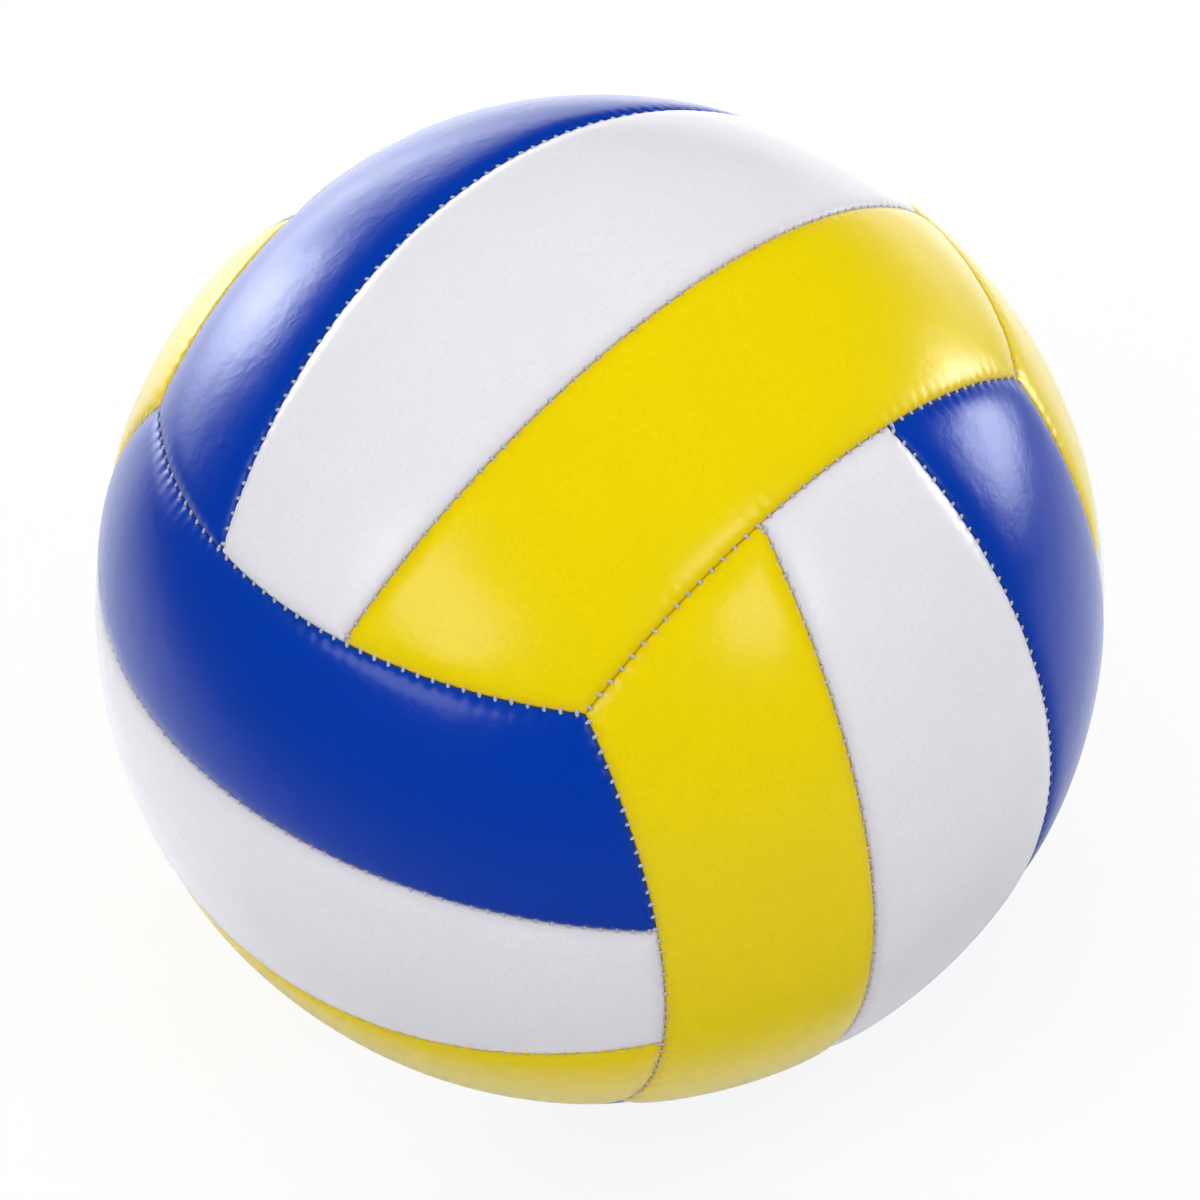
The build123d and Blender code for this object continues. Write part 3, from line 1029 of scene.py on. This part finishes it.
def stitch_tree():
    """Stitches set across each seam line at even steps, each a little uneven."""
    build = TreeBuilder(
        "seam_stitches",
        {
            "Seam Lines": "Geometry",
            "Stitch": "Object",
            "Stitches per Seam": "Int",
            "Slant": "Float",
            "Seed": "Int",
            "Thread": "Material",
        },
    )
    lines = build.node("GeometryNodeMeshToCurve", None, {"Mesh": build.value("Seam Lines")})
    count = build.value("Stitches per Seam")
    steps = build.node("GeometryNodeResampleCurve", None, {"Curve": lines, "Count": count})
    outward = build.node("GeometryNodeInputPosition")
    along = build.node("GeometryNodeInputTangent")
    upright = build.node("FunctionNodeAlignRotationToVector", {"axis": "Z"}, {"Vector": outward})
    across = build.node(
        "FunctionNodeAlignRotationToVector",
        {"axis": "Y", "pivot_axis": "Z"},
        {"Rotation": upright, "Vector": along},
    )
    error = build.random(-LEAN_ERROR, LEAN_ERROR)
    lean = build.node("ShaderNodeMath", {"operation": "ADD"}, {0: build.value("Slant"), 1: error})
    turn = build.node("FunctionNodeAxisAngleToRotation", None, {"Axis": (0, 0, 1), "Angle": lean})
    local = {"rotation_space": "LOCAL"}
    rotation = build.node("FunctionNodeRotateRotation", local, {0: across, 1: turn})
    size = build.random(*STITCH_SIZES)
    shape = build.node("GeometryNodeObjectInfo", None, {"Object": build.value("Stitch")}, "Geometry")
    placed = build.node(
        "GeometryNodeInstanceOnPoints",
        None,
        {"Points": steps, "Instance": shape, "Rotation": rotation, "Scale": size},
    )
    real = build.node("GeometryNodeRealizeInstances", None, {"Geometry": placed})
    thread = build.value("Thread")
    dressed = build.node("GeometryNodeSetMaterial", None, {"Geometry": real, "Material": thread})
    build.node("NodeGroupOutput", None, {"Geometry": dressed})
    return build


def seam_lines(name, cover, seams, turn):
    """A wire of the lines that the stitches follow, half a stitch short at both ends."""
    radius = ball_radius - cover.stitch_depth - cover.thread_diameter / 2
    points, edges = [], []
    for seam in seams:
        reach = seam.half_turn * (1 - 1 / seam.stitches(cover.stitch_pitch))
        row = seam.directions(0.0, np.linspace(-reach, reach, LINE_STEPS + 1))
        first = len(points)
        points += list((row * radius) @ turn.T)
        edges += [(first + k, first + k + 1) for k in range(LINE_STEPS)]
    return mesh_object(name, points, edges, [])


def settle(piece):
    """Turns a piece's modifiers into a plain mesh."""
    ready = piece.evaluated_get(bpy.context.evaluated_depsgraph_get())
    mesh = bpy.data.meshes.new_from_object(ready)
    if not mesh.polygons:
        raise RuntimeError(f"{piece.name} came out empty")
    piece.modifiers.clear()
    piece.data = mesh


class VOLLEYBALL_OT_stitching(bpy.types.Operator):
    """Sew the seams between the panels."""

    bl_idname = "volleyball.stitching"
    bl_label = "Stitching"

    def execute(self, context):
        cover = context.scene.volleyball_cover
        thread = thread_finish("white_thread", tuple(context.scene.volleyball_finish.thread))
        stitch = stitch_shape(cover)
        build = stitch_tree()
        seams = group_seams(cover)
        for group in GROUPS:
            for kind in ("group", "strip"):
                pair = [seams[kind + "+"], seams[kind + "-"]]
                piece = seam_lines(f"{group}_{kind}_stitches", cover, pair, group_turn(group))
                sewing = piece.modifiers.new("Stitches", "NODES")
                sewing.node_group = build.tree
                values = {
                    "Stitch": stitch,
                    "Stitches per Seam": pair[0].stitches(cover.stitch_pitch),
                    "Slant": cover.stitch_slant,
                    "Seed": cover.stitch_seed,
                    "Thread": thread,
                }
                for label, value in values.items():
                    sewing[build.sockets[label]] = value
                settle(piece)
                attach(piece, "root")
                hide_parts(f"{kind}_stitching_{group}")
        bpy.data.objects.remove(stitch)
        return {"FINISHED"}


def dress(node, material):
    """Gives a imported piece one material."""
    node.data.materials.clear()
    node.data.materials.append(material)


class VOLLEYBALL_OT_inside(bpy.types.Operator):
    """Make the foam and the bladder, and finish the valve."""

    bl_idname = "volleyball.inside"
    bl_label = "Foam, bladder and valve"

    def execute(self, context):
        cover = context.scene.volleyball_cover
        finish = context.scene.volleyball_finish
        foam = foam_finish("foam", tuple(finish.foam))
        for group in GROUPS:
            for place, hue in group_panels(group):
                pad = foam_pad(cover, group, place, hue)
                pad.data.materials.append(foam)
                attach(pad, "root")
                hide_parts(f"backing_{group}_{hue}")
        shell = bladder_shell(cover)
        shell.data.materials.append(rubber_finish("butyl", tuple(finish.bladder), BLADDER_ROUGHNESS))
        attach(shell, "root")
        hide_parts("bladder")
        valve = rubber_finish("valve_rubber", tuple(finish.valve), VALVE_ROUGHNESS)
        for name in ("valve_seat", "valve_plug"):
            dress(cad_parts[name], valve)
        return {"FINISHED"}


def direction(azimuth, elevation):
    """Direction at an angle round from the front, counted towards +X, and one above the horizon."""
    level = math.cos(elevation)
    return Vector((math.sin(azimuth) * level, -math.cos(azimuth) * level, math.sin(elevation)))


def heading(azimuth, elevation):
    """The same direction from degrees."""
    return direction(math.radians(azimuth), math.radians(elevation))


# Width of the camera's sensor in millimetres.
SENSOR_WIDTH = 36.0


def stand_camera(scene, studio):
    """The camera, which looks at the ball's centre."""
    back = direction(studio.azimuth, studio.elevation)
    side = Vector((0, 0, 1)).cross(back).normalized()
    level_up = back.cross(side)
    up = math.cos(studio.roll) * level_up + math.sin(studio.roll) * side
    lens = bpy.data.cameras.new("camera")
    lens.lens = studio.lens
    lens.sensor_width = SENSOR_WIDTH
    camera = place_object("camera", lens)
    turn = Matrix((up.cross(back), up, back)).transposed()
    camera.matrix_world = Matrix.Translation(back * studio.distance) @ turn.to_4x4()
    scene.camera = camera


WHITE = (1, 1, 1, 1)
# The floor's half size in metres, and its paper's tones in the light it gives back: all round, and in front
# a darker tone that is painted shade.
FLOOR_HALF = 6.0
PAPER_TONE = (0.92, 0.92, 0.94, 1.0)
FRONT_SHADE_TONE = (0.75, 0.75, 0.77, 1.0)

# Distances in metres from the point under the ball over which the floor changes.
BALL_SHADE = (0.09, 0.14)
GLEAM_FADE = (0.1, 0.9)
BEHIND_RISE = (0.2, 0.5)
LEFT_RISE = (0.4, 0.75)
LEFT_FADE = (0.75, 1.3)
FRONT_RISE = (0.12, 0.25)
SHADOW_FADE = (0.35, 0.8)
CONTACT_FADE = (0.015, 0.05)

# Cosines of the angle from a side's middle over which that side begins.
DARK_TURN = (-0.4, 1.0)
BRIGHT_TURN = (0.5, 0.85)
LEFT_TURN = (0.85, 1.0)
FRONT_TURN = (0.0, 0.9)


def towards(way, azimuth):
    """Cosine of the angle between a way along the floor and a side of the ball."""
    return way.vector_math("DOT_PRODUCT", way, direction(azimuth, 0.0), output="Value")


def floor_shine(studio, way, reach):
    """Brightness of the floor in the ball's own gloss, by its way and its reach from the ball."""
    dark = towards(way, studio.dark_side).smooth(*DARK_TURN)
    lit = studio.floor_gleam * (1 - dark) * (1 - reach.smooth(*GLEAM_FADE))
    bright = towards(way, studio.bright_side).smooth(*BRIGHT_TURN)
    lit = lit + studio.floor_behind * bright * reach.smooth(*BEHIND_RISE)
    left = towards(way, studio.left_side).smooth(*LEFT_TURN)
    strip = reach.smooth(*LEFT_RISE) * (1 - reach.smooth(*LEFT_FADE))
    lit = lit + studio.floor_left * left * strip
    open_floor = reach.smooth(*BALL_SHADE)
    return studio.floor_shade * (1 - open_floor) + lit * open_floor


def white_floor(studio):
    """A wide white floor under the ball, which keeps a faint shadow."""
    signs = ((-1, -1), (1, -1), (1, 1), (-1, 1))
    corners = [(x * FLOOR_HALF, y * FLOOR_HALF, floor_level) for x, y in signs]
    floor = mesh_object("floor", corners, [], [(0, 1, 2, 3)])
    material, link, place = new_material("white_floor")
    level = link.vector_math("MULTIPLY", place, (1, 1, 0))
    reach = link.vector_math("LENGTH", level, output="Value")
    way = link.vector_math("NORMALIZE", level)
    # Painted shade: the paper is darker in front of the ball, so it gives the ball less light from that
    # side.
    front = towards(way, studio.dark_side).smooth(*FRONT_TURN) * reach.smooth(*FRONT_RISE)
    paper = link.node("BsdfDiffuse", None, {"Color": link.mix(front, PAPER_TONE, FRONT_SHADE_TONE)})
    shaded_white = link.node("BsdfDiffuse", None, {"Color": WHITE})
    white = link.node("Emission", None, {"Color": WHITE, "Strength": 1.0})
    shine = floor_shine(studio, way, reach) / studio.gloss_tint[1]
    gleam = link.node("Emission", None, {"Color": opaque(studio.gloss_tint), "Strength": shine})
    shadow = studio.floor_shadow * (1 - reach.smooth(*SHADOW_FADE))
    shadow = shadow + studio.floor_contact * (1 - reach.smooth(*CONTACT_FADE))
    seen = link.node("MixShader", None, {0: 1 - shadow, 1: shaded_white, 2: white})
    camera_ray = link.node("LightPath", output="Is Camera Ray")
    glossy_ray = link.node("LightPath", output="Is Glossy Ray")
    whole = link.node("MixShader", None, {0: camera_ray, 1: paper, 2: seen})
    link.node("MixShader", None, {0: glossy_ray, 1: whole, 2: gleam}).end("Material")
    material.cycles.emission_sampling = "NONE"
    floor.data.materials.append(material)


def white_surround(scene):
    """Plain white behind the floor, for the camera alone: the lamps light the ball."""
    world = bpy.data.worlds.new("surround")
    link = empty_tree(world)
    camera_ray = link.node("LightPath", output="Is Camera Ray")
    link.node("Background", None, {"Color": WHITE, "Strength": camera_ray}).end("World")
    scene.world = world


@dataclass
class SoftBox:
    """Where a soft box stands, in degrees and metres, its size, its tilt, and whether it is a rim light."""

    azimuth: float
    elevation: float
    distance: float
    size: tuple
    tilt: float = 0.0
    rim: bool = True


# The soft boxes that the ball mirrors. A rim light shows in the gloss alone.
SOFT_BOXES = {
    "front_key": SoftBox(0, 38, 1.2, (0.76, 0.4), tilt=-20.0, rim=False),
    "right_key": SoftBox(91, 35, 1.2, (0.42, 0.34), rim=False),
    "left_rim": SoftBox(-89.6, 12.7, 0.9, (0.47, 0.38)),
    "back_rim": SoftBox(160, 5, 0.9, (0.5, 0.46)),
    "backdrop": SoftBox(-100, -10, 1.3, (1.9, 1.75)),
    "far_backdrop": SoftBox(-178, 3, 1.3, (1.5, 0.75)),
}
# Share of a rim light's half size over which it fades to its edge.
RIM_FADE = 0.8
# The white tent's half width and height in metres.
TENT_HALF = 1.0
TENT_HEIGHT = 1.1


def fading_edges(lamp):
    """Lets a lamp's light fade towards its edges."""
    link = empty_tree(lamp)
    place = link.node("NewGeometry", output="Parametric")
    strength = 1.0
    for axis in ("X", "Y"):
        across = link.node("SeparateXYZ", None, {0: place}, axis)
        off_middle = link.math("ABSOLUTE", 2 * across - 1)
        strength = strength * (1 - off_middle.smooth(1 - RIM_FADE, 1.0))
    link.node("Emission", None, {"Strength": strength}).end("Light")


def area_lamp(name, place, size, radiance, gloss=True, tilt=0.0):
    """A rectangular lamp that faces the ball's centre and that the camera doesn't see."""
    lamp = bpy.data.lights.new(name, "AREA")
    lamp.shape = "RECTANGLE"
    lamp.size, lamp.size_y = size
    lamp.energy = radiance * math.pi * size[0] * size[1]
    lamp.cycles.use_multiple_importance_sampling = gloss
    box = place_object(name, lamp)
    box.location = place
    facing = (-place).to_track_quat("-Z", "Y")
    box.rotation_euler = (facing @ Quaternion((0, 0, 1), math.radians(tilt))).to_euler()
    box.visible_camera = False
    box.visible_glossy = gloss
    return box


def white_tent(studio):
    """A white tent of soft light: a roof and four walls that leave no glare on the ball."""
    side = 2 * TENT_HALF
    roof = Vector((0, 0, floor_level + TENT_HEIGHT))
    area_lamp("tent_roof", roof, (side, side), studio.tent_top, gloss=False)
    walls = {45: studio.tent_front, 135: studio.tent_back, 225: studio.tent_back, 315: studio.tent_front}
    for azimuth, radiance in walls.items():
        place = heading(azimuth, 0) * TENT_HALF
        wall = area_lamp(f"tent_wall_{azimuth}", place, (side, TENT_HEIGHT), radiance, gloss=False)
        wall.location.z = floor_level + TENT_HEIGHT / 2


def soft_boxes(studio):
    """The lamps that the ball mirrors, in the tint of its gloss."""
    tint = studio.gloss_tint
    for name, box in SOFT_BOXES.items():
        place = heading(box.azimuth, box.elevation) * box.distance
        radiance = getattr(studio, name) / tint[1]
        lamp = area_lamp(name, place, box.size, radiance, tilt=box.tilt)
        lamp.data.color = tint
        lamp.visible_diffuse = not box.rim
        if box.rim:
            fading_edges(lamp.data)


class VOLLEYBALL_OT_studio(bpy.types.Operator):
    """Set the camera, the floor and the light."""

    bl_idname = "volleyball.studio"
    bl_label = "Studio"

    def execute(self, context):
        scene = context.scene
        studio = scene.volleyball_studio
        scene.view_settings.view_transform = "Standard"
        stand_camera(scene, studio)
        white_floor(studio)
        white_surround(scene)
        white_tent(studio)
        soft_boxes(studio)
        return {"FINISHED"}


class VOLLEYBALL_PT_panel(bpy.types.Panel):
    """Lists the steps that make the ball."""

    bl_idname = "VOLLEYBALL_PT_panel"
    bl_label = "Volleyball"
    bl_space_type = "VIEW_3D"
    bl_region_type = "UI"
    bl_category = "Volleyball"

    def draw(self, context):
        for operator in OPERATORS:
            self.layout.operator(operator.bl_idname)
        for name in SETTINGS:
            settings = getattr(context.scene, name)
            box = self.layout.box()
            for key in settings.bl_rna.properties.keys():
                if key not in ("rna_type", "name"):
                    box.prop(settings, key)


OPERATORS = (
    VOLLEYBALL_OT_cover,
    VOLLEYBALL_OT_stitching,
    VOLLEYBALL_OT_inside,
    VOLLEYBALL_OT_studio,
)
SETTINGS = {
    "volleyball_cover": CoverSettings,
    "volleyball_finish": FinishSettings,
    "volleyball_studio": StudioSettings,
}


def register():
    for name, group in SETTINGS.items():
        bpy.utils.register_class(group)
        setattr(bpy.types.Scene, name, PointerProperty(type=group))
    for operator in OPERATORS:
        bpy.utils.register_class(operator)
    bpy.utils.register_class(VOLLEYBALL_PT_panel)


def unregister():
    bpy.utils.unregister_class(VOLLEYBALL_PT_panel)
    for operator in reversed(OPERATORS):
        bpy.utils.unregister_class(operator)
    for name, group in SETTINGS.items():
        delattr(bpy.types.Scene, name)
        bpy.utils.unregister_class(group)


def main():
    register()
    bpy.ops.volleyball.studio()
    bpy.ops.volleyball.cover()
    bpy.ops.volleyball.stitching()
    bpy.ops.volleyball.inside()


if __name__ == "__main__":
    main()
